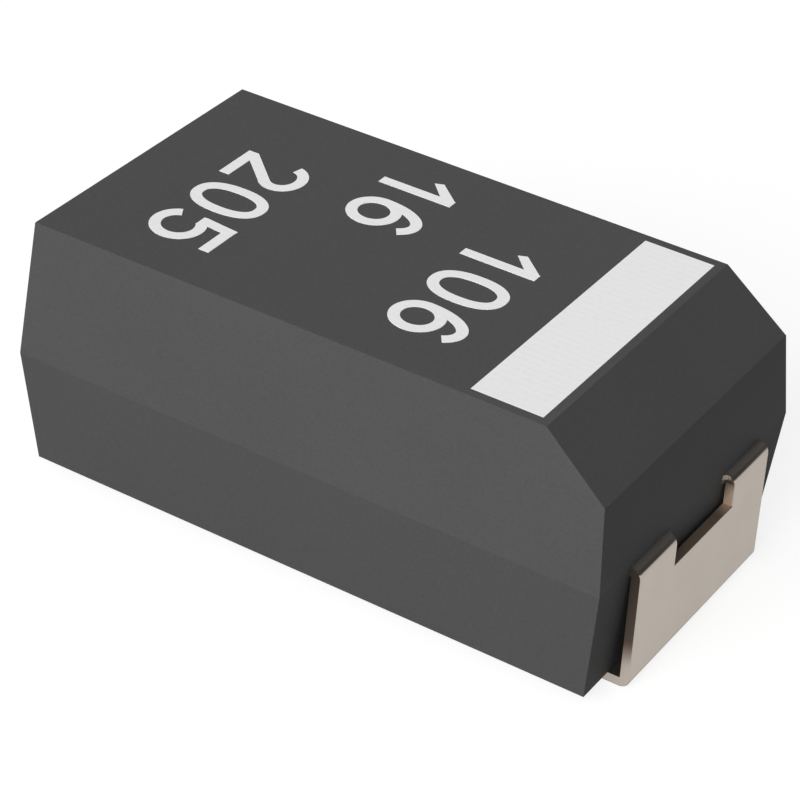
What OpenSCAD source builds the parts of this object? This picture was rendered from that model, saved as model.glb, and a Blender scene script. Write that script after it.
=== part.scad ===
// Moulded tantalum chip capacitor for surface mounting, case outline 6.0 x 3.2 x 2.5 mm.
// +X points to the positive end, +Z is up, and the feet stand on z = 0 with the origin midway
// between them. All sizes are in millimetres.

/* [Case] */
// Length of the moulded case at its parting line
case_length = 5.76; // [5.6:0.02:7.4]
// Width of the moulded case at its parting line
case_width = 3.2; // [3:0.1:4.4]
// Height of the case's top face above the board
case_top = 2.5; // [2.4:0.05:3.2]
// Height of the parting line, where the leads come out
parting_height = 1.21; // [1.1:0.01:1.3]
// Draft angle of all the side walls, in degrees
draft_angle = 5; // [1:0.5:8]
// How far the polarity bevel reaches back along the top
bevel_back = 0.66; // [0.5:0.02:1]
// How far the polarity bevel comes down the positive end
bevel_drop = 0.5; // [0.3:0.05:0.8]

/* [Leads] */
// Width of both leads outside the case
lead_width = 2.2; // [1.6:0.1:2.6]
// Thickness of the lead strip
lead_thickness = 0.09; // [0.06:0.01:0.13]
// Radius inside every bend of the strip
bend_inner_radius = 0.01; // [0.01:0.01:0.04]
// Length of each foot along the board, from the outside of its lead
foot_length = 1.3; // [0.8:0.1:1.6]
// Gap between the feet and the underside of the case
foot_gap = 0.01; // [0.01:0.01:0.05]
// Width of the notch in the positive lead
notch_width = 1; // [0.6:0.1:1.3]
// Height of the notch's lower edge above the board
notch_height = 0.9; // [0.7:0.05:1]
// Radius of the notch's two inner corners
notch_corner_radius = 0.08; // [0.04:0.01:0.15]
// How far the notch reaches into the case
notch_reach = 0.01; // [0.01:0.01:0.1]

/* [Leads inside the case] */
// Length of the wide plate that anchors the positive lead
anchor_length = 0.43; // [0.3:0.01:0.6]
// Width of the tab that the tantalum wire is welded to
weld_tab_width = 1; // [0.6:0.1:1.6]
// Length of wire that lies on its tab
weld_length = 0.6; // [0.3:0.05:0.7]
// Depth of the groove in the tab under the wire
wire_seat_depth = 0.04; // [0.02:0.01:0.06]
// Width of the negative lead inside the case
cathode_tab_width = 1.8; // [1:0.1:2]
// Length of the negative lead under the pellet
cathode_tab_length = 1.9; // [1:0.1:3]

/* [Capacitor element] */
// Height of the sintered tantalum pellet
pellet_height = 1.4; // [1:0.1:1.5]
// Moulding compound between each side of the case and the element, at the parting line
side_wall = 0.47; // [0.3:0.01:0.8]
// Moulding compound between the negative end of the case and the element
cathode_wall = 0.55; // [0.5:0.01:0.7]
// Room between the pellet's wire end and the positive end of the case
anode_room = 1.73; // [1.6:0.01:2]
// Diameter of the tantalum wire
wire_diameter = 0.34; // [0.2:0.01:0.4]
// Length of wire that is sintered into the pellet
wire_embedded = 2; // [1:0.1:2.4]
// Free wire between the pellet and the weld tab
wire_free = 0.6; // [0.3:0.05:0.7]
// Outer diameter of the washer on the wire
washer_diameter = 0.8; // [0.5:0.05:1]
// Thickness of the washer
washer_thickness = 0.12; // [0.06:0.01:0.2]
// Thickness of the manganese dioxide coat
dioxide_thickness = 0.03; // [0.02:0.01:0.05]
// Thickness of the carbon coat
carbon_thickness = 0.02; // [0.01:0.01:0.03]
// Distance from the pellet's wire end to the carbon coat
carbon_setback = 0.12; // [0.05:0.01:0.3]
// Thickness of the silver coat
silver_thickness = 0.03; // [0.02:0.01:0.05]
// Distance from the pellet's wire end to the silver coat
silver_setback = 0.3; // [0.1:0.05:0.6]
// Thickness of the silver adhesive on the negative lead
adhesive_thickness = 0.03; // [0.02:0.01:0.05]
// Clearance round the wire and the washer
round_clearance = 0.01; // [0.01:0.01:0.02]

/* [Polarity bar] */
// Length of the bar along the case
bar_length = 0.66; // [0.3:0.02:1]
// Distance from the bar to the upper edge of the bevel
bar_bevel_gap = 0.08; // [0.04:0.01:0.3]
// Distance from each end of the bar to the side edge of the top face
bar_side_gap = 0.09; // [0.04:0.01:0.4]
// Depth of the bar's mark in the top face
bar_depth = 0.02; // [0.01:0.01:0.04]

/* [Hidden] */
$fn = 64;
overcut = 1;

half_length = case_length / 2;
half_width = case_width / 2;
underside = lead_thickness + foot_gap;
draft_slope = tan(draft_angle);
top_inset = (case_top - parting_height) * draft_slope;
bottom_inset = (parting_height - underside) * draft_slope;
bevel_foot_height = case_top - bevel_drop;
bevel_foot_inset = (bevel_foot_height - parting_height) * draft_slope;

bend_outer_radius = lead_thickness + bend_inner_radius;
leg_face = half_length + bend_outer_radius;
strip_bottom = parting_height - lead_thickness;

wire_radius = wire_diameter / 2;
wire_height = parting_height + wire_radius - wire_seat_depth;

carbon_over_pellet = dioxide_thickness + carbon_thickness;
coats_over_pellet = carbon_over_pellet + silver_thickness;
element_start = cathode_wall - half_length;
pellet_start = element_start + coats_over_pellet;
pellet_end = half_length - anode_room;
pellet_width = case_width - 2 * (side_wall + coats_over_pellet);
element_bottom = wire_height - pellet_height / 2 - coats_over_pellet;

weld_tab_start = pellet_end + wire_free;
wire_end = weld_tab_start + weld_length;
cathode_tab_top = element_bottom - adhesive_thickness;
cathode_tab_bottom = cathode_tab_top - lead_thickness;
riser_face = element_start - adhesive_thickness;
riser_start = riser_face - bend_outer_radius;
stub_length = riser_start + half_length;
cathode_tab_end = riser_face + cathode_tab_length;

bar_end = half_length - bevel_back - bar_bevel_gap;
bar_start = bar_end - bar_length;
bar_width = case_width - 2 * (top_inset + bar_side_gap);

// Side view of the case: drafted both ways from the parting line, with the bevel at +X.
side_outline = [
    [-half_length + bottom_inset, underside],
    [half_length - bottom_inset, underside],
    [half_length, parting_height],
    [half_length - bevel_foot_inset, bevel_foot_height],
    [half_length - bevel_back, case_top],
    [-half_length + top_inset, case_top],
    [-half_length, parting_height]
];

// End view of the case.
end_outline = [
    [-half_width + bottom_inset, underside],
    [half_width - bottom_inset, underside],
    [half_width, parting_height],
    [half_width - top_inset, case_top],
    [-half_width + top_inset, case_top],
    [-half_width, parting_height]
];

// Turns a drawing in the X-Z plane into a solid of the given width, centred on the X axis.
module across(width) {
    rotate([90, 0, 0])
        linear_extrude(height = width, center = true)
            children();
}

// Every wall of the case is flat, so two extruded outlines meet in its exact drafted corners.
module drafted_block() {
    intersection() {
        across(case_width + overcut)
            polygon(side_outline);
        rotate([90, 0, 90])
            linear_extrude(height = case_length + overcut, center = true)
                polygon(end_outline);
    }
}

// A rod along X, for the wire and everything that fits round it.
module rod(start, end, radius) {
    translate([start, 0, wire_height])
        rotate([0, 90, 0])
            cylinder(h = end - start, r = radius);
}

// The pellet's own box, grown by the coats that lie over it and cut short at the wire end.
module pellet_box(growth, setback) {
    length = pellet_end - setback - pellet_start + growth;
    width = pellet_width + 2 * growth;
    height = pellet_height + 2 * growth;
    translate([pellet_start - growth, -width / 2, wire_height - height / 2])
        cube([length, width, height]);
}

// A quarter turn of the strip, in the drawing plane, opening from its corner at the origin.
module quarter_bend() {
    intersection() {
        difference() {
            circle(r = bend_outer_radius);
            circle(r = bend_inner_radius);
        }
        square(bend_outer_radius);
    }
}

// Both leads come out along the parting line and fold down the end of the case and under it.
// Drawn for the +X end, with the given length of strip inside the case.
module folded_lead(inside_length) {
    translate([half_length - inside_length, strip_bottom])
        square([inside_length, lead_thickness]);
    translate([half_length, parting_height - bend_outer_radius])
        quarter_bend();
    translate([leg_face - lead_thickness, bend_outer_radius])
        square([lead_thickness, parting_height - 2 * bend_outer_radius]);
    translate([half_length, bend_outer_radius])
        rotate(-90)
            quarter_bend();
    translate([leg_face - foot_length, 0])
        square([half_length - leg_face + foot_length, lead_thickness]);
}

// The negative lead inside the case steps down and runs under the pellet, drawn for the -X end.
module stepped_tab() {
    step_top = parting_height - bend_outer_radius;
    step_bottom = cathode_tab_bottom + bend_outer_radius;
    translate([-half_length, strip_bottom])
        square([stub_length, lead_thickness]);
    translate([riser_start, step_top])
        quarter_bend();
    translate([riser_face - lead_thickness, step_bottom])
        square([lead_thickness, step_top - step_bottom]);
    translate([riser_face + bend_inner_radius, step_bottom])
        rotate(180)
            quarter_bend();
    translate([riser_face + bend_inner_radius, cathode_tab_bottom])
        square([cathode_tab_end - riser_face - bend_inner_radius, lead_thickness]);
}

// The punched notch: square down the leg, with its two corners rounded in the flat of the strip.
module lead_notch() {
    corner_x = half_length - notch_reach + notch_corner_radius;
    corner_y = notch_width / 2 - notch_corner_radius;
    inside_bend = bend_inner_radius / 2;
    translate([half_length + inside_bend, -notch_width / 2, notch_height])
        cube([bend_outer_radius, notch_width, strip_bottom - notch_height + inside_bend]);
    translate([0, 0, notch_height])
        linear_extrude(height = parting_height - notch_height + overcut) {
            translate([corner_x, -notch_width / 2])
                square([overcut, notch_width]);
            translate([half_length - notch_reach, -corner_y])
                square([overcut, 2 * corner_y]);
            for (side = [-1, 1])
                translate([corner_x, side * corner_y])
                    circle(r = notch_corner_radius);
        }
}

// The positive lead's strip before the groove for the wire is pressed into its tab.
module anode_strip() {
    difference() {
        union() {
            across(lead_width)
                folded_lead(anchor_length);
            across(weld_tab_width)
                translate([weld_tab_start, strip_bottom])
                    square([half_length - notch_reach - weld_tab_start, lead_thickness]);
        }
        lead_notch();
    }
}

module anode_terminal() {
    color("#b2aaa0")
        difference() {
            anode_strip();
            rod(weld_tab_start - overcut, wire_end, wire_radius + round_clearance);
        }
}

module cathode_terminal() {
    color("#b2aaa0") {
        mirror([1, 0, 0])
            across(lead_width)
                folded_lead(stub_length);
        across(cathode_tab_width)
            stepped_tab();
    }
}

module tantalum_wire() {
    color("#8d9197")
        rod(pellet_end - wire_embedded, wire_end, wire_radius);
}

module wire_washer() {
    color("#f1f1ec")
        difference() {
            rod(pellet_end, pellet_end + washer_thickness, washer_diameter / 2);
            rod(pellet_end - overcut, pellet_end + overcut, wire_radius + round_clearance);
        }
}

module tantalum_pellet() {
    color("#5b5f66")
        difference() {
            pellet_box(0, 0);
            rod(pellet_end - wire_embedded, pellet_end + overcut, wire_radius + round_clearance);
        }
}

// Covers the pellet on all sides, with an opening for the washer in the wire end.
module manganese_dioxide_coat() {
    color("#211e1c")
        difference() {
            pellet_box(dioxide_thickness, -dioxide_thickness);
            pellet_box(0, 0);
            rod(pellet_end - overcut, pellet_end + overcut, washer_diameter / 2 + round_clearance);
        }
}

// An open cup over the dioxide coat.
module carbon_coat() {
    color("#2e2e30")
        difference() {
            pellet_box(carbon_over_pellet, carbon_setback);
            pellet_box(dioxide_thickness, -dioxide_thickness);
        }
}

// An open cup over the carbon coat, a little shorter than it.
module silver_coat() {
    color("#c8c8c4")
        difference() {
            pellet_box(coats_over_pellet, silver_setback);
            pellet_box(carbon_over_pellet, carbon_setback);
        }
}

module silver_adhesive() {
    color("#b4b4ae")
        translate([element_start, -cathode_tab_width / 2, cathode_tab_top])
            cube([cathode_tab_end - element_start, cathode_tab_width, adhesive_thickness]);
}

module polarity_bar() {
    color("#e2e2e0")
        translate([bar_start, -bar_width / 2, case_top - bar_depth])
            cube([bar_length, bar_width, bar_depth]);
}

// What the case leaves free for the adhesive, from inside the tab below to inside the coat above.
module adhesive_room() {
    height = adhesive_thickness + silver_thickness + lead_thickness / 2;
    translate([element_start, cathode_tab_top - lead_thickness / 2])
        square([cathode_tab_end - element_start, height]);
}

// What the case leaves free for the bar, open at the top.
module bar_room() {
    translate([bar_start, -bar_width / 2, case_top - bar_depth])
        cube([bar_length, bar_width, overcut]);
}

// The moulding fills all the space round what it seals in.
module moulded_case() {
    color("#48484a")
        difference() {
            drafted_block();
            anode_strip();
            cathode_terminal();
            across(cathode_tab_width) {
                stepped_tab();
                adhesive_room();
            }
            pellet_box(coats_over_pellet, silver_setback);
            pellet_box(carbon_over_pellet, carbon_setback);
            pellet_box(dioxide_thickness, -dioxide_thickness);
            rod(pellet_end, pellet_end + washer_thickness, washer_diameter / 2 + round_clearance);
            rod(pellet_end, wire_end, wire_radius + round_clearance);
            bar_room();
        }
}

moulded_case();
polarity_bar();
anode_terminal();
cathode_terminal();
tantalum_wire();
wire_washer();
tantalum_pellet();
manganese_dioxide_coat();
carbon_coat();
silver_coat();
silver_adhesive();
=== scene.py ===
import math

import bmesh
import bpy
from mathutils import Matrix, Vector, geometry


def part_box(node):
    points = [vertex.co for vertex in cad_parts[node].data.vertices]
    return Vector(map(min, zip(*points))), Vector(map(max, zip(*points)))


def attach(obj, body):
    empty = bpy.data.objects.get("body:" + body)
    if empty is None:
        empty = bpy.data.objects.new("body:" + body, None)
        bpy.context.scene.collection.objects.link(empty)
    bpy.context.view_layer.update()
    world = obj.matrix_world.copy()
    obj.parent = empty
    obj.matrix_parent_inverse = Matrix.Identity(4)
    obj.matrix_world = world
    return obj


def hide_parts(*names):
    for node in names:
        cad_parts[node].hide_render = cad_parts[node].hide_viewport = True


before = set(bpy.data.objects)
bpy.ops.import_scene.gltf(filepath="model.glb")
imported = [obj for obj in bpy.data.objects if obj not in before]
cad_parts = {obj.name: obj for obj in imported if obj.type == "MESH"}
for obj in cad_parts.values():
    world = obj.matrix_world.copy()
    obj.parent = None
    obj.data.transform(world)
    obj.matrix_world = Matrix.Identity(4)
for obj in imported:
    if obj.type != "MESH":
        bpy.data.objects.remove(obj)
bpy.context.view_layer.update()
mm = 0.001  # sizes below are in millimetres until they are multiplied by this
weldDistance = 0.00005 * mm
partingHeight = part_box("anode_terminal")[1][2]  # the strips leave the case at its parting plane
print("stage: frame loaded,", len(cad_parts), "CAD pieces")


def linearColour(hexCode):
    # sRGB hex to linear light by the standard curve, with full opacity
    channels = [int(hexCode[i:i + 2], 16) / 255 for i in (1, 3, 5)]
    return tuple(c / 12.92 if c <= 0.04045 else ((c + 0.055) / 1.055) ** 2.4
                 for c in channels) + (1.0,)


def addNode(tree, kind, settings=None, links=None):
    # settings: attributes by name, or socket values by name or index; links: input to an output.
    # A colour mix has its two colours on inputs 6 and 7 and its result on output 2.
    node = tree.nodes.new(kind)
    for key, value in (settings or {}).items():
        if isinstance(key, int) or key in node.inputs.keys():
            node.inputs[key].default_value = value
        else:
            setattr(node, key, value)
    for key, output in (links or {}).items():
        tree.links.new(output, node.inputs[key])
    return node


def newMaterial(name):
    material = bpy.data.materials.new(name)
    material.use_nodes = True
    material.node_tree.nodes.clear()
    return material, material.node_tree


def patternScale(sizeMm):
    # a noise repeats about once per unit, so this gives one grain per sizeMm
    return 1 / (sizeMm * mm)


epoxyLook = {
    "colour": "#4b4b4b",
    "paleGrain": "#515151",
    "roughness": 0.68,
    "specular": 0.08,  # the filler leaves hardly any gloss
    "grainMm": 0.022,  # the tool's grain is about 0.008 mm, drawn coarser so that it shows
    "grainHeightMm": 0.0012,
    "grainDetail": 2.0,
    "grainRoughness": 0.55,
    "flowMm": 1.4,  # broad cloudiness left by the flow of the resin
    "flowShare": 0.35,
    "paleFrom": 0.45, "paleTo": 0.95,  # stretch of grain and flow over which the tone turns pale
    # painted shade: how much darker the lower half below the parting plane is drawn
    "lowerHalfPaintedShade": 0.89,
    "partingBlurMm": 0.004,
}


def mouldedEpoxy(look):
    # Silica-filled epoxy, transfer moulded in a spark-eroded tool: charcoal, flat, finely grained
    material, tree = newMaterial("spark textured moulded epoxy")
    point = addNode(tree, "ShaderNodeTexCoord").outputs["Object"]
    grain = addNode(tree, "ShaderNodeTexNoise",
                    {"Scale": patternScale(look["grainMm"]), "Detail": look["grainDetail"],
                     "Roughness": look["grainRoughness"]}, {"Vector": point})
    flow = addNode(tree, "ShaderNodeTexNoise",
                   {"Scale": patternScale(look["flowMm"]), "Detail": look["grainDetail"]},
                   {"Vector": point})
    mixed = addNode(tree, "ShaderNodeMath", {"operation": "MULTIPLY_ADD", 1: look["flowShare"]},
                    {0: flow.outputs["Fac"], 2: grain.outputs["Fac"]})
    tone = addNode(tree, "ShaderNodeMapRange",
                   {"From Min": look["paleFrom"], "From Max": look["paleTo"]},
                   {"Value": mixed.outputs[0]})
    colour = addNode(tree, "ShaderNodeMix",
                     {"data_type": "RGBA", 6: linearColour(look["colour"]),
                      7: linearColour(look["paleGrain"])}, {0: tone.outputs[0]})
    # painted shade: below the parting plane the black is drawn deeper, as if the downward-drafted
    # lower half were lit less
    height = addNode(tree, "ShaderNodeSeparateXYZ", links={0: point})
    paintedLowerShade = addNode(tree, "ShaderNodeMapRange",
                     {"From Min": partingHeight - look["partingBlurMm"] * mm,
                      "From Max": partingHeight + look["partingBlurMm"] * mm,
                      "To Min": look["lowerHalfPaintedShade"]}, {"Value": height.outputs["Z"]})
    colourWithPaintedShade = addNode(tree, "ShaderNodeVectorMath", {"operation": "SCALE"},
                    {0: colour.outputs[2], "Scale": paintedLowerShade.outputs[0]})
    bump = addNode(tree, "ShaderNodeBump",
                   {"Strength": 1.0, "Distance": look["grainHeightMm"] * mm},
                   {"Height": grain.outputs["Fac"]})
    shader = addNode(tree, "ShaderNodeBsdfPrincipled",
                     {"Roughness": look["roughness"], "Specular IOR Level": look["specular"]},
                     {"Base Color": colourWithPaintedShade.outputs[0], "Normal": bump.outputs[0]})
    addNode(tree, "ShaderNodeOutputMaterial", links={"Surface": shader.outputs[0]})
    return material


markLook = {
    "colour": "#f9f9f9",
    "dullColour": "#f5f5f5",
    "roughness": 0.8,
    "specular": 0.2,
    "lineMm": 0.07917,  # the beam's passes are about 0.04 mm apart, drawn wider so that they show
    "lineWander": 0.6,
    "lineShare": 0.25,
    "speckleMm": 0.03,  # the specks are about 0.01 mm, drawn coarser so that they show
    "paleFrom": 0.35, "paleTo": 0.7,  # stretch of lines and specks over which the tone turns pale
}
waveRate = 20 / math.tau  # a wave texture has this many lines per unit


def laserMark(look):
    # Laser-bleached epoxy: pale and chalky, with faint lines from the beam's passes, fine specks
    material, tree = newMaterial("laser bleached epoxy mark")
    point = addNode(tree, "ShaderNodeTexCoord").outputs["Object"]
    lines = addNode(tree, "ShaderNodeTexWave",
                    {"wave_type": "BANDS", "bands_direction": "Y", "Detail": 1.0,
                     "Distortion": look["lineWander"],
                     "Scale": patternScale(look["lineMm"]) / waveRate}, {"Vector": point})
    specks = addNode(tree, "ShaderNodeTexNoise",
                     {"Scale": patternScale(look["speckleMm"]), "Detail": 2.0}, {"Vector": point})
    mixed = addNode(tree, "ShaderNodeMath", {"operation": "MULTIPLY_ADD", 1: look["lineShare"]},
                    {0: lines.outputs["Fac"], 2: specks.outputs["Fac"]})
    tone = addNode(tree, "ShaderNodeMapRange",
                   {"From Min": look["paleFrom"], "From Max": look["paleTo"]},
                   {"Value": mixed.outputs[0]})
    colour = addNode(tree, "ShaderNodeMix",
                     {"data_type": "RGBA", 6: linearColour(look["dullColour"]),
                      7: linearColour(look["colour"])}, {0: tone.outputs[0]})
    shader = addNode(tree, "ShaderNodeBsdfPrincipled",
                     {"Roughness": look["roughness"], "Specular IOR Level": look["specular"]},
                     {"Base Color": colour.outputs[2]})
    addNode(tree, "ShaderNodeOutputMaterial", links={"Surface": shader.outputs[0]})
    return material


stripLook = {
    "tin": "#b8aea4",
    "tinShade": "#afa59a",
    "cutAlloy": "#bfa793",
    # one dark colour serves the bend, stains and painted shade alike
    "stainAndShade": "#261e15",
    "bendGrey": "#3f3a36",
    "tinRoughness": 0.42,
    "dullRoughness": 0.6,
    "dullMetal": 0.4,  # the dark marks, partly painted shade, cover part of the metal
    "rollingMm": 0.012,  # rolling lines are about 0.003 mm wide, drawn coarser so that they show
    "rollingStretch": 12.0,  # their length to their width
    "rollingHeightMm": 0.0006,
    "rollingStrength": 0.5,
    "cloudMm": 0.35,
    # heights, in mm, over which cut edges lose their tin and over which the upper bend starts to
    # darken
    "bareHeight": (0.22, 0.5),
    "bendDarkHeight": (0.6, 0.7),
    # how far up a face looks, from -1 to 1, where the upper bend darkens and where its paler grey
    # takes over
    "darkBend": (0.4, 0.58),
    "bendGreyUp": (0.66, 0.86),
    "underBendShade": (-0.3, -0.02),  # the same for the lower bend, where painted shade darkens the tin
    "underShadeTone": 0.6,
}


def tinnedStrip(look):
    # Copper alloy strip, matte tin plated before punching: warm grey satin faces with faint
    # rolling lines. Punched edges show brown metal, with tin again low down, and the bend next to
    # the moulding is darker. The mesh's attributes say where it is cut and how dark it is drawn:
    # painted shade in the notch, part stain and part painted shade on the long edges. Painted shade
    # also darkens the lower bend.
    material, tree = newMaterial("matte tin over rolled copper alloy")
    coordinates = addNode(tree, "ShaderNodeTexCoord").outputs
    point = coordinates["Object"]
    height = addNode(tree, "ShaderNodeSeparateXYZ", links={0: point}).outputs["Z"]
    upward = addNode(tree, "ShaderNodeSeparateXYZ", links={0: coordinates["Normal"]}).outputs["Z"]
    # the second attribute says how dark a face is drawn: painted shade in the notch, part stain and
    # part painted shade on the long edges
    edgeMark = addNode(tree, "ShaderNodeAttribute", {"attribute_name": "cutEdge"}).outputs["Fac"]
    darkMark = addNode(tree, "ShaderNodeAttribute", {"attribute_name": "stainAndShade"}).outputs["Fac"]

    stretch = look["rollingStretch"]
    stretched = addNode(tree, "ShaderNodeMapping", {"Scale": (1.0, stretch, 1.0)},
                        {"Vector": point})
    rolling = addNode(tree, "ShaderNodeTexNoise",
                      {"Scale": patternScale(look["rollingMm"]) / stretch, "Detail": 2.0},
                      {"Vector": stretched.outputs[0]})
    cloud = addNode(tree, "ShaderNodeTexNoise",
                    {"Scale": patternScale(look["cloudMm"]), "Detail": 3.0}, {"Vector": point})
    tin = addNode(tree, "ShaderNodeMix",
                  {"data_type": "RGBA", 6: linearColour(look["tin"]),
                   7: linearColour(look["tinShade"])}, {0: cloud.outputs["Fac"]})

    share = {}  # how far each change of finish or painted shade has come, from 0 to 1
    for name, source, unit, blend, start in (
            ("bareHeight", height, mm, "SMOOTHSTEP", 0.0),
            ("bendDarkHeight", height, mm, "LINEAR", 0.0),
            ("darkBend", upward, 1, "SMOOTHSTEP", 0.0),
            ("bendGreyUp", upward, 1, "SMOOTHSTEP", 0.0),
            ("underBendShade", upward, 1, "LINEAR", look["underShadeTone"])):
        first, last = look[name]
        share[name] = addNode(tree, "ShaderNodeMapRange",
                              {"interpolation_type": blend, "From Min": first * unit,
                               "From Max": last * unit, "To Min": start},
                              {"Value": source}).outputs[0]
    # painted shade: the tin is drawn darker where the lower bend turns under towards the shadowed
    # floor
    tinWithUnderShade = addNode(tree, "ShaderNodeVectorMath", {"operation": "SCALE"},
                   {0: tin.outputs[2], "Scale": share["underBendShade"]})

    bendDarkening = addNode(tree, "ShaderNodeMath", {"operation": "MULTIPLY"},
                        {0: share["darkBend"], 1: share["bendDarkHeight"]})
    bare = addNode(tree, "ShaderNodeMath", {"operation": "MULTIPLY"},
                   {0: edgeMark, 1: share["bareHeight"]})
    where = addNode(tree, "ShaderNodeMix", {"data_type": "FLOAT"},
                    {0: edgeMark, 2: bendDarkening.outputs[0], 3: share["bareHeight"]})
    dark = addNode(tree, "ShaderNodeMath", {"operation": "MULTIPLY"},
                   {0: where.outputs[0], 1: darkMark})
    metal = addNode(tree, "ShaderNodeMix", {"data_type": "RGBA", 7: linearColour(look["cutAlloy"])},
                    {0: bare.outputs[0], 6: tinWithUnderShade.outputs[0]})
    unmarked = addNode(tree, "ShaderNodeMath", {"operation": "MULTIPLY_ADD", 1: -1.0, 2: 1.0},
                       {0: edgeMark})
    bendGreyShare = addNode(tree, "ShaderNodeMath", {"operation": "MULTIPLY"},
                    {0: share["bendGreyUp"], 1: unmarked.outputs[0]})
    stainAndShadeColour = addNode(tree, "ShaderNodeMix",
                    {"data_type": "RGBA", 6: linearColour(look["stainAndShade"]),
                     7: linearColour(look["bendGrey"])}, {0: bendGreyShare.outputs[0]})
    colour = addNode(tree, "ShaderNodeMix", {"data_type": "RGBA"},
                     {0: dark.outputs[0], 6: metal.outputs[2], 7: stainAndShadeColour.outputs[2]})

    dull = addNode(tree, "ShaderNodeMath", {"operation": "MAXIMUM"},
                   {0: bare.outputs[0], 1: dark.outputs[0]})
    roughness = addNode(tree, "ShaderNodeMapRange",
                        {"To Min": look["tinRoughness"], "To Max": look["dullRoughness"]},
                        {"Value": dull.outputs[0]})
    metallic = addNode(tree, "ShaderNodeMapRange", {"To Min": 1.0, "To Max": look["dullMetal"]},
                       {"Value": dull.outputs[0]})
    bump = addNode(tree, "ShaderNodeBump",
                   {"Strength": look["rollingStrength"], "Distance": look["rollingHeightMm"] * mm},
                   {"Height": rolling.outputs["Fac"]})
    shader = addNode(tree, "ShaderNodeBsdfPrincipled",
                     links={"Base Color": colour.outputs[2], "Roughness": roughness.outputs[0],
                            "Metallic": metallic.outputs[0], "Normal": bump.outputs[0]})
    addNode(tree, "ShaderNodeOutputMaterial", links={"Surface": shader.outputs[0]})
    return material


# The sealed element's finishes. The grains of the two blacks, the silver flakes and the draw marks
# are a few thousandths of a millimetre in truth, and are drawn coarser so that they show.
elementLooks = {
    # clusters of sintered powder: dull grey and granular
    "tantalum_pellet": {"name": "sintered tantalum powder", "colours": ("#4f535a", "#6a6e75"),
                        "grainMm": 0.03, "reliefMm": 0.004, "roughness": 0.75, "metallic": 0.6},
    # bright cool grey with a trace of the drawing die
    "tantalum_wire": {"name": "drawn tantalum wire", "colours": ("#878b92", "#979ba1"),
                      "grainMm": 0.02, "reliefMm": 0.0005, "roughness": 0.3, "metallic": 1.0},
    # milky white and smooth
    "wire_washer": {"name": "punched PTFE sheet", "colours": ("#ecece6", "#f4f4f0"),
                    "grainMm": 0.05, "reliefMm": 0.0005, "roughness": 0.5, "metallic": 0.0},
    # a matt brown-black crust
    "manganese_dioxide_coat": {"name": "pyrolysed manganese dioxide",
                               "colours": ("#171413", "#2a2522"), "grainMm": 0.02,
                               "reliefMm": 0.003, "roughness": 0.85, "metallic": 0.0},
    # a dull soft black film
    "carbon_coat": {"name": "dipped carbon paint", "colours": ("#252527", "#323234"),
                    "grainMm": 0.03, "reliefMm": 0.002, "roughness": 0.7, "metallic": 0.0},
    # pale grey satin with flakes
    "silver_coat": {"name": "dipped silver flake paint", "colours": ("#b9b9b4", "#d2d2ce"),
                    "grainMm": 0.015, "reliefMm": 0.0015, "roughness": 0.45, "metallic": 0.9},
    # duller and lumpier than the paint, because resin holds the flakes
    "silver_adhesive": {"name": "cured silver epoxy", "colours": ("#a4a49f", "#bdbdb8"),
                        "grainMm": 0.02, "reliefMm": 0.003, "roughness": 0.55, "metallic": 0.8},
}


def grainyFinish(look):
    material, tree = newMaterial(look["name"])
    point = addNode(tree, "ShaderNodeTexCoord").outputs["Object"]
    grain = addNode(tree, "ShaderNodeTexNoise",
                    {"Scale": patternScale(look["grainMm"]), "Detail": 3.0}, {"Vector": point})
    darker, paler = (linearColour(code) for code in look["colours"])
    colour = addNode(tree, "ShaderNodeMix", {"data_type": "RGBA", 6: darker, 7: paler},
                     {0: grain.outputs["Fac"]})
    bump = addNode(tree, "ShaderNodeBump", {"Strength": 1.0, "Distance": look["reliefMm"] * mm},
                   {"Height": grain.outputs["Fac"]})
    shader = addNode(tree, "ShaderNodeBsdfPrincipled",
                     {"Roughness": look["roughness"], "Metallic": look["metallic"]},
                     {"Base Color": colour.outputs[2], "Normal": bump.outputs[0]})
    addNode(tree, "ShaderNodeOutputMaterial", links={"Surface": shader.outputs[0]})
    return material


def setMaterial(piece, material):
    piece.data.materials.clear()
    piece.data.materials.append(material)


epoxyMaterial = mouldedEpoxy(epoxyLook)
markMaterial = laserMark(markLook)
stripMaterial = tinnedStrip(stripLook)
for nodeName, look in elementLooks.items():
    setMaterial(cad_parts[nodeName], grainyFinish(look))
setMaterial(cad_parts["polarity_bar"], markMaterial)
print("stage: materials made")


def addPiece(name, meshData, material, slotName, *replaced):
    piece = bpy.data.objects.new(name, meshData)
    bpy.context.scene.collection.objects.link(piece)
    setMaterial(piece, material)
    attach(piece, "root")
    if replaced:
        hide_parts(*replaced)


def mergedCopy(nodeName, flatAngle=0.1):
    # a CAD node's mesh is loose triangles: join them and drop the lines inside flat faces
    bm = bmesh.new()
    bm.from_mesh(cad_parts[nodeName].data)
    bmesh.ops.remove_doubles(bm, verts=bm.verts, dist=weldDistance)
    bmesh.ops.dissolve_limit(bm, angle_limit=math.radians(flatAngle), verts=bm.verts,
                             edges=bm.edges)
    return bm


def middleOf(edge):
    return (edge.verts[0].co + edge.verts[1].co) / 2


def roundEdges(bm, edges, shape):
    bmesh.ops.bevel(bm, geom=edges, offset=shape["edgeRadius"] * mm, offset_type="OFFSET",
                    segments=shape["edgeSteps"], profile=0.5, affect="EDGES", clamp_overlap=True)


def plainMesh(holder, name):
    # the evaluated shape as a mesh of its own; the helper object and its modifiers go
    depsgraph = bpy.context.evaluated_depsgraph_get()
    meshData = bpy.data.meshes.new_from_object(holder.evaluated_get(depsgraph),
                                               depsgraph=depsgraph,
                                               preserve_all_data_layers=True)
    meshData.name = name
    rough = holder.data
    bpy.data.objects.remove(holder)
    bpy.data.meshes.remove(rough)
    return meshData


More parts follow.
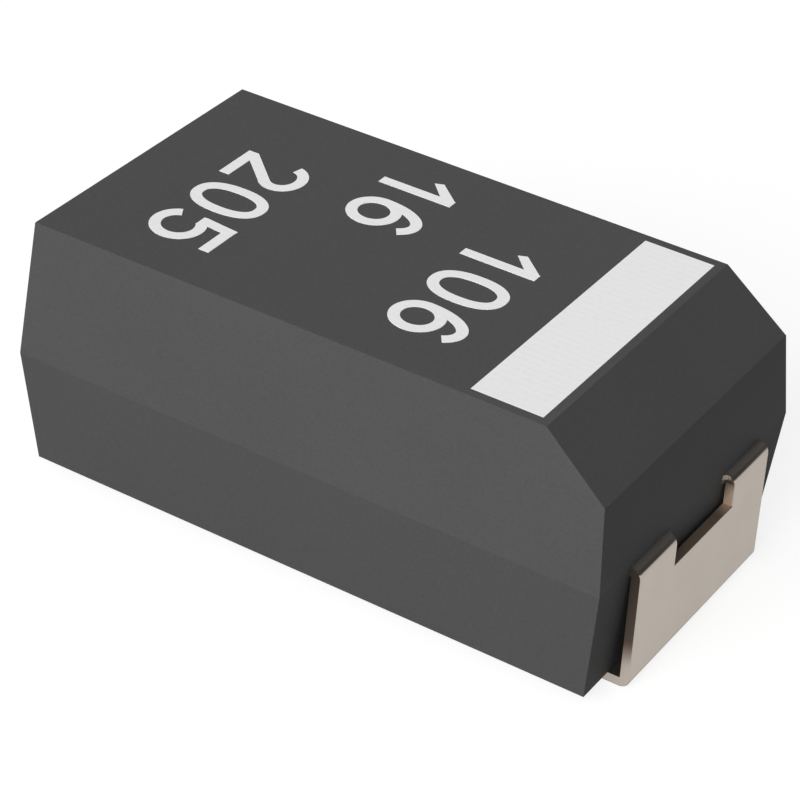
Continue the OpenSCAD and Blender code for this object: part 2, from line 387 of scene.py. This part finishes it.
def shadedMesh(bm, name, smoothAngle):
    # smooth across bends and rounded edges, with the wide flat faces kept flat
    bmesh.ops.remove_doubles(bm, verts=bm.verts, dist=weldDistance)
    rough = bpy.data.meshes.new(name + "_rough")
    bm.to_mesh(rough)
    bm.free()
    rough.shade_smooth()
    rough.set_sharp_from_angle(angle=math.radians(smoothAngle))
    holder = bpy.data.objects.new(name + "_rough", rough)
    bpy.context.scene.collection.objects.link(holder)
    weighted = holder.modifiers.new("weighted", "WEIGHTED_NORMAL")
    weighted.keep_sharp = True
    weighted.weight = 100  # only the widest faces count
    return plainMesh(holder, name)


caseShape = {
    "edgeRadius": 0.018, "edgeSteps": 3,
    "sharpestFlat": 15,  # degrees: an edge flatter than this isn't rounded
    "smoothAngle": 35,  # degrees: a sharper edge than this keeps a crease in the shading
    "planeReach": 0.001,  # an edge this near to two outside planes is an outer edge
    "sameWay": 0.01,  # normals closer than this belong to one plane
}


def hullPlanes(bm, sameWay):
    # outward planes of the smallest convex block round the case
    block = bmesh.new()
    for vert in bm.verts:
        block.verts.new(vert.co)
    bmesh.ops.convex_hull(block, input=block.verts)
    block.normal_update()
    planes = []
    for face in block.faces:
        if all((face.normal - other).length > sameWay for other, spot in planes):
            planes.append((face.normal.copy(), face.verts[0].co.copy()))
    block.free()
    return planes


def mouldedCase(shape):
    # the moulding's outer edges are rounded, and the seats of the leads and the bar stay sharp
    bm = mergedCopy("moulded_case")
    planes = hullPlanes(bm, shape["sameWay"])
    outer = []
    for edge in bm.edges:
        isFlat = edge.calc_face_angle(0) < math.radians(shape["sharpestFlat"])
        if len(edge.link_faces) != 2 or isFlat:
            continue
        near = sum(abs((middleOf(edge) - spot).dot(normal)) < shape["planeReach"] * mm
                   for normal, spot in planes)
        if near >= 2:
            outer.append(edge)
    roundEdges(bm, outer, shape)
    print("case: outside planes:", len(planes), "edges rounded:", len(outer))
    return shadedMesh(bm, "case_moulding", shape["smoothAngle"])


addPiece("case_moulding", mouldedCase(caseShape), epoxyMaterial, "epoxy_moulding", "moulded_case")
print("stage: case made")


leadShape = {
    "edgeRadius": 0.008, "edgeSteps": 2, "smoothAngle": 35,
    "bendRadius": 0.1,  # outside of both bends
    "sealedInside": 0.16,  # further in than this from the leg's face the moulding hides the strip
    "sealedAbove": 0.05,  # and higher than this over the lower bend
    "notchHalf": 0.55,
    # how squarely a face looks out of the strip: a cut edge below the first, a flat face above
    # the second, and the bevel between them below the third
    "cutFacing": 0.3, "flatFacing": 0.7, "rolledFacing": 0.95,
    "wallFacing": 0.9,  # a face of the notch that looks along Y more than this is a wall
    "cornerFacing": 0.2,  # one that looks along X and Y more than this is its rounded corner
    # painted shade on the notch's walls, darker up towards the moulding: none below these heights
    # on the strip's inside and outside, and rising to the second figure at the bend
    "wallDarkFrom": (0.9, 1.05), "wallPaintedShade": (0.0, 0.85),
    "wallSplit": 0.05,  # from the leg's face in to where the wall's outside begins
    "sideStainAndShade": (0.84, 0.97),  # stain and painted shade of the strip's long edges, at the feet and at the bend
    "sillPale": (0.33, 0.43),  # stretch of the notch's sill, along Y, that turns paler
    "sillDarkness": (0.83, 0.3),  # how dark it is drawn before and after it
    "lipFrom": 1.155,  # the top lip of the notch's rounded corner is still bright
    "lipMarks": (0.5, 0.9),  # its bareness and painted shade
    "cornerMarks": (1.0, 0.9),  # the same below it
    "rimDarkUp": 0.5,  # the rolled rim is dark where the strip looks up more than this
}


def foldedLead(nodeName, pieceName, shape):
    low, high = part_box(nodeName)
    side = 1 if high[0] > -low[0] else -1
    reach, top = max(high[0], -low[0]) / mm, high[2] / mm
    bendX = reach - shape["bendRadius"]
    lowBend, highBend = shape["bendRadius"], top - shape["bendRadius"]
    bm = mergedCopy(nodeName)

    def outward(point):
        # the way the strip's outer face points at this place along its folds
        x, z = point.x * side / mm, point.z / mm
        if x < bendX:
            return Vector((0, 0, 1 if z > (lowBend + highBend) / 2 else -1))
        nearest = min(max(z, lowBend), highBend)
        return Vector(((x - bendX) * side, 0, z - nearest)).normalized()

    def isSealed(point):
        return point.x * side / mm < reach - shape["sealedInside"] \
            and point.z / mm > lowBend + shape["sealedAbove"]

    def facingOf(face, point):
        return abs(face.normal.dot(outward(point)))

    def inNotch(point):
        return abs(point.y) / mm < shape["notchHalf"]

    # how dark a cut face is drawn: painted shade on the notch's walls, rising towards the moulding;
    # along Y on the sill; part stain and part painted shade on the long edges
    def stainAndShadeOf(face, point):
        x, y, z = (value / mm for value in point)
        isNotch = inNotch(face.calc_center_median())
        if isNotch and abs(face.normal.y) > shape["wallFacing"]:
            isOutside = x * side > reach - shape["wallSplit"]
            first, last = shape["wallDarkFrom"][isOutside], highBend
            tones, place = shape["wallPaintedShade"], z
        elif isNotch:
            first, last = shape["sillPale"]
            tones, place = shape["sillDarkness"], y
        else:
            first, last = 0, top
            tones, place = shape["sideStainAndShade"], z
        share = min(max((place - first) / (last - first), 0), 1)
        return tones[0] + (tones[1] - tones[0]) * share

    # the punched rims, where a flat face meets a cut edge
    rims = []
    for edge in bm.edges:
        middle = middleOf(edge)
        if len(edge.link_faces) != 2 or isSealed(middle):
            continue
        facing = sorted(face.normal.dot(outward(middle)) for face in edge.link_faces)
        if abs(facing[0]) < shape["cutFacing"] and facing[1] > shape["flatFacing"]:
            rims.append(edge)
    roundEdges(bm, rims, shape)

    # the notch's faces are divided where their finish changes
    for axis, level in ((2, shape["wallDarkFrom"][1]), (2, shape["lipFrom"]),
                        (1, shape["sillPale"][0])):
        faces = [face for face in bm.faces if inNotch(face.calc_center_median())
                 and facingOf(face, face.calc_center_median()) < shape["cutFacing"]]
        parts = faces + list({part for face in faces for part in (*face.edges, *face.verts)})
        way = Vector([float(i == axis) for i in range(3)])
        bmesh.ops.bisect_plane(bm, geom=parts, dist=weldDistance, plane_co=way * level * mm,
                               plane_no=way)

    # cutEdge marks cut faces and the dark rim; the second layer holds how dark each face is drawn,
    # with painted shade in the notch and partly on the long edges
    cutLayer = bm.loops.layers.float.new("cutEdge")
    darkLayer = bm.loops.layers.float.new("stainAndShade")
    for face in bm.faces:
        middle, normal = face.calc_center_median(), face.normal
        isCut = facingOf(face, middle) < shape["cutFacing"] and not isSealed(middle)
        isCorner = isCut and inNotch(middle) \
            and min(abs(normal.x), abs(normal.y)) > shape["cornerFacing"]
        # the rolled rim on top of the upper bend is as dark as the cut edge beside it
        isRim = not isCut and facingOf(face, middle) < shape["rolledFacing"] \
            and middle.z / mm > highBend and outward(middle).z > shape["rimDarkUp"]
        isLip = middle.z / mm > shape["lipFrom"]
        for loop in face.loops:
            loop[cutLayer] = 1.0 if isCut or isRim else 0.0
            loop[darkLayer] = stainAndShadeOf(face, loop.vert.co) if isCut else 1.0
            # the notch's rounded corner is drawn dark with painted shade, and its top lip is half
            # bare so it stays brighter
            if isCorner:
                loop[cutLayer], loop[darkLayer] = shape["lipMarks" if isLip else "cornerMarks"]
    print("terminal:", pieceName, "edges rounded:", len(rims))
    addPiece(pieceName, shadedMesh(bm, pieceName, shape["smoothAngle"]), stripMaterial,
             "tinned_lead_strip", nodeName)


foldedLead("anode_terminal", "anode_lead", leadShape)
foldedLead("cathode_terminal", "cathode_lead", leadShape)
print("stage: terminals made")


# plain numbers only: each row's digits, the x of its foot line, the y of its first digit's middle
digitRows = {
    "value_digits": ("106", 0.336, 0.405),
    "voltage_digits": ("16", -0.86, 0.99),
    "date_digits": ("205", -2.055, 0.385),
}
digitShape = {
    "height": 0.727, "width": 0.47, "stroke": 0.102,
    "pitch": 0.587,
    "proud": 0.003, "sunk": 0.006,  # above and below the top face
    "arcSteps": 28,
}
# lengths are in millimetres from the digit's own middle, angles anticlockwise from the right
digitForms = {
    "0": {"squareness": 0.86},  # 1 would be an ellipse
    "1": {"stemX": 0.092, "flag": ((-0.156, 0.124), (-0.122, 0.046), (0.05, 0.215)),
          "flagX": 0.05},
    "2": {"bowlX": -0.005, "bowlRise": 0.165, "bowlTurn": (172, -35), "neckRise": 0.013,
          "footOut": (0.035, 0.05)},
    "5": {"bowlX": -0.01, "bowlRise": 0.2, "bowlOut": 0.01, "bowlTurn": (128, -155),
          "capIn": (0.01, -0.03), "stemIn": (0.035, 0.005), "stemFoot": 0.035,
          "corner": ((-0.232, 0.045), (-0.226, 0.004), (-0.096, 0.004), (-0.12, 0.06))},
    "6": {"bowlRise": 0.195, "tailX": 0.035, "tailTurn": (180, 52)},
}
samePoint = 1e-6  # in millimetres


def arc(centre, radii, turn, steps):
    # part of an ellipse as points
    start, end = turn
    angles = [math.radians(start + (end - start) * i / steps) for i in range(steps + 1)]
    return [(centre[0] + radii[0] * math.cos(t), centre[1] + radii[1] * math.sin(t))
            for t in angles]


def digitStrokes(digit, shape):
    # middle lines of the beam's strokes, and any filled corners
    wide, tall = (shape["width"] - shape["stroke"]) / 2, (shape["height"] - shape["stroke"]) / 2
    top, steps, form = tall + shape["stroke"] / 2, shape["arcSteps"], digitForms[digit]
    if digit == "0":
        ring = []
        for turn in (math.pi * i / steps for i in range(2 * steps)):
            ring.append([size * math.copysign(abs(way) ** form["squareness"], way)
                         for size, way in ((wide, math.cos(turn)), (tall, math.sin(turn)))])
        return [ring + ring[:1]], []
    if digit == "1":
        return [[(form["stemX"], -top), (form["stemX"], top)]], \
            [(*form["flag"], (form["flagX"], top))]
    rise = form["bowlRise"]
    if digit == "2":
        bowl = arc((form["bowlX"], tall - rise), (wide, rise), form["bowlTurn"], steps)
        left, right = form["footOut"]
        return [bowl + [(-wide, -tall + form["neckRise"])],
                [(-wide - left, -tall), (wide + right, -tall)]], []
    if digit == "5":
        bowl = arc((form["bowlX"], -tall + rise), (wide + form["bowlOut"], rise),
                   form["bowlTurn"], steps)
        left, right = form["capIn"]
        above, below = form["stemIn"]
        return [[(-wide + left, tall), (wide - right, tall)],
                [(-wide + above, top), (-wide + below, form["stemFoot"])], bowl], [form["corner"]]
    ring = arc((0, -tall + rise), (wide, rise), (0, 360), 2 * steps)
    tail = arc((form["tailX"], -tall + rise), (wide + form["tailX"], 2 * tall - rise),
               form["tailTurn"], steps)
    return [ring, tail], []


def strokeQuads(line, stroke):
    # a band of this width along the line, square at both ends
    points = [Vector(point) for point in line]
    isRing = (points[0] - points[-1]).length < samePoint
    sides = []
    for i, point in enumerate(points):
        before = points[i - 1] if i else (points[-2] if isRing else points[0])
        after = points[i + 1] if i + 1 < len(points) else (points[1] if isRing else points[-1])
        along = Vector((0, 0))
        for step in (after - point, point - before):
            if step.length > samePoint:
                along += step.normalized()
        across = Vector((-along.y, along.x)).normalized() * stroke / 2
        sides.append((point + across, point - across))
    return [(a1, b1, b2, a2) for (a1, b1), (a2, b2) in zip(sides, sides[1:])]


def flatDigits(pieceName, digits, shape):
    # every digit as one flat sheet round the origin, with its place in the row kept in "place"
    meshData = bpy.data.meshes.new(pieceName + "_flat")
    bm = bmesh.new()
    placeLayer = bm.verts.layers.float.new("place")
    for place, digit in enumerate(digits):
        lines, corners = digitStrokes(digit, shape)
        quads = [quad for line in lines for quad in strokeQuads(line, shape["stroke"])]
        quads += [tuple(Vector(spot) for spot in corner) for corner in corners]
        spots = [spot for quad in quads for spot in quad]
        faces = [tuple(range(4 * i, 4 * i + 4)) for i in range(len(quads))]
        # the strokes become one outline: keep each triangle that lies in at least one of them
        spots, _, triangles, _, _, sources = geometry.delaunay_2d_cdt(spots, [], faces, 1,
                                                                      samePoint)
        verts = [bm.verts.new((spot.x * mm, spot.y * mm, 0)) for spot in spots]
        for vert in verts:
            vert[placeLayer] = place
        for triangle, source in zip(triangles, sources):
            if source:
                bm.faces.new([verts[i] for i in triangle])
    bmesh.ops.recalc_face_normals(bm, faces=bm.faces)
    for face in bm.faces:
        if face.normal.z < 0:
            face.normal_flip()
    loose = [vert for vert in bm.verts if not vert.link_faces]
    bmesh.ops.delete(bm, geom=loose, context="VERTS")
    bm.to_mesh(meshData)
    bm.free()
    return meshData


def digitTree():
    # sets the flat digits out in a row, one every pitch, and makes each a thin closed slab
    tree = bpy.data.node_groups.new("marked digit row", "GeometryNodeTree")
    for name, kind in (("Geometry", "NodeSocketGeometry"), ("Pitch", "NodeSocketFloat"),
                       ("Thickness", "NodeSocketFloat"), ("Material", "NodeSocketMaterial")):
        tree.interface.new_socket(name, in_out="INPUT", socket_type=kind)
    tree.interface.new_socket("Geometry", in_out="OUTPUT", socket_type="NodeSocketGeometry")
    given = addNode(tree, "NodeGroupInput").outputs
    place = addNode(tree, "GeometryNodeInputNamedAttribute",
                    {"data_type": "FLOAT", "Name": "place"})
    along = addNode(tree, "ShaderNodeMath", {"operation": "MULTIPLY"},
                    {0: place.outputs[0], 1: given["Pitch"]})
    shift = addNode(tree, "ShaderNodeCombineXYZ", links={0: along.outputs[0]})
    flat = addNode(tree, "GeometryNodeSetPosition",
                   links={"Geometry": given["Geometry"], "Offset": shift.outputs[0]})
    raised = addNode(tree, "GeometryNodeExtrudeMesh", {"Individual": False},
                     {"Mesh": flat.outputs[0], "Offset Scale": given["Thickness"]})
    under = addNode(tree, "GeometryNodeFlipFaces", links={0: flat.outputs[0]})
    both = addNode(tree, "GeometryNodeJoinGeometry", links={0: under.outputs[0]})
    tree.links.new(raised.outputs[0], both.inputs[0])
    closed = addNode(tree, "GeometryNodeMergeByDistance", {"Distance": weldDistance},
                     {"Geometry": both.outputs[0]})
    solid = addNode(tree, "GeometryNodeRealizeInstances", links={0: closed.outputs[0]})
    painted = addNode(tree, "GeometryNodeSetMaterial",
                      links={"Geometry": solid.outputs[0], "Material": given["Material"]})
    addNode(tree, "NodeGroupOutput", links={0: painted.outputs[0]})
    return tree


def markedDigits(pieceName, digits, footX, firstY, shape, tree):
    holder = bpy.data.objects.new(pieceName + "_rough", flatDigits(pieceName, digits, shape))
    bpy.context.scene.collection.objects.link(holder)
    modifier = holder.modifiers.new("digits", "NODES")
    modifier.node_group = tree
    sockets = {item.name: item.identifier for item in tree.interface.items_tree
               if item.in_out == "INPUT"}
    for name, value in (("Pitch", shape["pitch"] * mm), ("Material", markMaterial),
                        ("Thickness", (shape["proud"] + shape["sunk"]) * mm)):
        modifier[sockets[name]] = value
    meshData = plainMesh(holder, pieceName)
    # the digits read across the case, with their heads towards the bar
    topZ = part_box("moulded_case")[1][2]
    place = Matrix.Translation(((footX + shape["height"] / 2) * mm, firstY * mm,
                                topZ - shape["sunk"] * mm))
    meshData.transform(place @ Matrix.Rotation(math.radians(-90), 4, "Z"))
    addPiece(pieceName, meshData, markMaterial, "laser_mark")


digitsTree = digitTree()
for pieceName, (digits, footX, firstY) in digitRows.items():
    markedDigits(pieceName, digits, footX, firstY, digitShape, digitsTree)
print("stage: digits made")


def towards(azimuth, elevation):
    # the way from the object to a place round it, turned from -Y towards +X and then up
    azimuth, elevation = math.radians(azimuth), math.radians(elevation)
    return Vector((math.sin(azimuth) * math.cos(elevation),
                   -math.cos(azimuth) * math.cos(elevation), math.sin(elevation)))


cameraPlace = {
    "aim": (0.0392, -0.0712, 1.0802),
    "azimuth": 31.297, "elevation": 34.14, "roll": 3.202, "distance": 25.31,
    "lensMm": 132.91,
    "clip": (1, 1000),
}


def makeCamera(place):
    back = towards(place["azimuth"], place["elevation"])
    azimuth, roll = math.radians(place["azimuth"]), math.radians(place["roll"])
    level = Vector((math.cos(azimuth), math.sin(azimuth), 0))
    right = math.cos(roll) * level + math.sin(roll) * back.cross(level)
    turn = Matrix((right, back.cross(right), back)).transposed().to_4x4()
    data = bpy.data.cameras.new("camera")
    data.lens = place["lensMm"]
    data.clip_start, data.clip_end = (reach * mm for reach in place["clip"])
    camera = bpy.data.objects.new("camera", data)
    spot = Vector(place["aim"]) * mm + back * place["distance"] * mm
    camera.matrix_world = Matrix.Translation(spot) @ turn
    bpy.context.scene.collection.objects.link(camera)
    bpy.context.scene.camera = camera


studio = {
    "floorSize": 400,
    "floorDrop": 0.002,  # just under the feet, so the two faces never lie in one plane
    "floorColour": "#8e8e8e", "floorGlow": 0.81,
    "worldStrength": 0.312,
    "worldFall": 0.4,  # share by which the walls' light rises towards -X and falls towards +X
    "suns": {"frontSun": {"azimuth": -3.5, "elevation": 28.3, "strength": 3.26, "spread": 52}},
}


def seenRay(tree):
    # 1 for what the camera, a reflection or clear material sees, 0 for light that falls on things
    path = addNode(tree, "ShaderNodeLightPath").outputs
    first = addNode(tree, "ShaderNodeMath", {"operation": "MAXIMUM"},
                    {0: path["Is Camera Ray"], 1: path["Is Glossy Ray"]})
    return addNode(tree, "ShaderNodeMath", {"operation": "MAXIMUM"},
                   {0: first.outputs[0], 1: path["Is Transmission Ray"]}).outputs[0]


def makeWorld(plan):
    # the walls' light falls off sideways, and what is seen or mirrored of them is plain white
    world = bpy.data.worlds.new("studio")
    bpy.context.scene.world = world
    world.use_nodes = True
    tree = world.node_tree
    tree.nodes.clear()
    sideways = addNode(tree, "ShaderNodeSeparateXYZ",
                       links={0: addNode(tree, "ShaderNodeTexCoord").outputs["Generated"]})
    lit, fall = plan["worldStrength"], plan["worldFall"]
    walls = addNode(tree, "ShaderNodeMapRange",
                    {"From Min": -1.0, "To Min": lit * (1 + fall), "To Max": lit * (1 - fall)},
                    {"Value": sideways.outputs[0]})
    strength = addNode(tree, "ShaderNodeMix", {"data_type": "FLOAT", 3: 1.0},
                       {0: seenRay(tree), 2: walls.outputs[0]})
    backdrop = addNode(tree, "ShaderNodeBackground", {"Color": (1, 1, 1, 1)},
                       {"Strength": strength.outputs[0]})
    addNode(tree, "ShaderNodeOutputWorld", links={"Surface": backdrop.outputs[0]})


def makeFloor(plan):
    half, low = plan["floorSize"] / 2 * mm, -plan["floorDrop"] * mm
    floorMesh = bpy.data.meshes.new("floor")
    corners = ((-half, -half), (half, -half), (half, half), (-half, half))
    floorMesh.from_pydata([(x, y, low) for x, y in corners], [], [(0, 1, 2, 3)])
    floor = bpy.data.objects.new("floor", floorMesh)
    bpy.context.scene.collection.objects.link(floor)
    # Painted board: matt, and its glow lifts it to white where it is seen and keeps the shadow soft
    material, tree = newMaterial("matt white studio board")
    board = addNode(tree, "ShaderNodeBsdfDiffuse", {"Color": linearColour(plan["floorColour"])})
    amount = addNode(tree, "ShaderNodeMath", {"operation": "MULTIPLY", 1: plan["floorGlow"]},
                     {0: seenRay(tree)})
    glow = addNode(tree, "ShaderNodeEmission", links={"Strength": amount.outputs[0]})
    both = addNode(tree, "ShaderNodeAddShader", links={0: board.outputs[0], 1: glow.outputs[0]})
    addNode(tree, "ShaderNodeOutputMaterial", links={"Surface": both.outputs[0]})
    floorMesh.materials.append(material)


def makeSun(name, sun):
    data = bpy.data.lights.new(name, "SUN")
    data.energy = sun["strength"]
    data.angle = math.radians(sun["spread"])
    lamp = bpy.data.objects.new(name, data)
    way = towards(sun["azimuth"], sun["elevation"])
    lamp.rotation_euler = way.to_track_quat("Z", "Y").to_euler()
    bpy.context.scene.collection.objects.link(lamp)


makeCamera(cameraPlace)
makeWorld(studio)
makeFloor(studio)
for sunName, sun in studio["suns"].items():
    makeSun(sunName, sun)
bpy.context.scene.view_settings.view_transform = "Standard"
print("stage: camera and studio set")
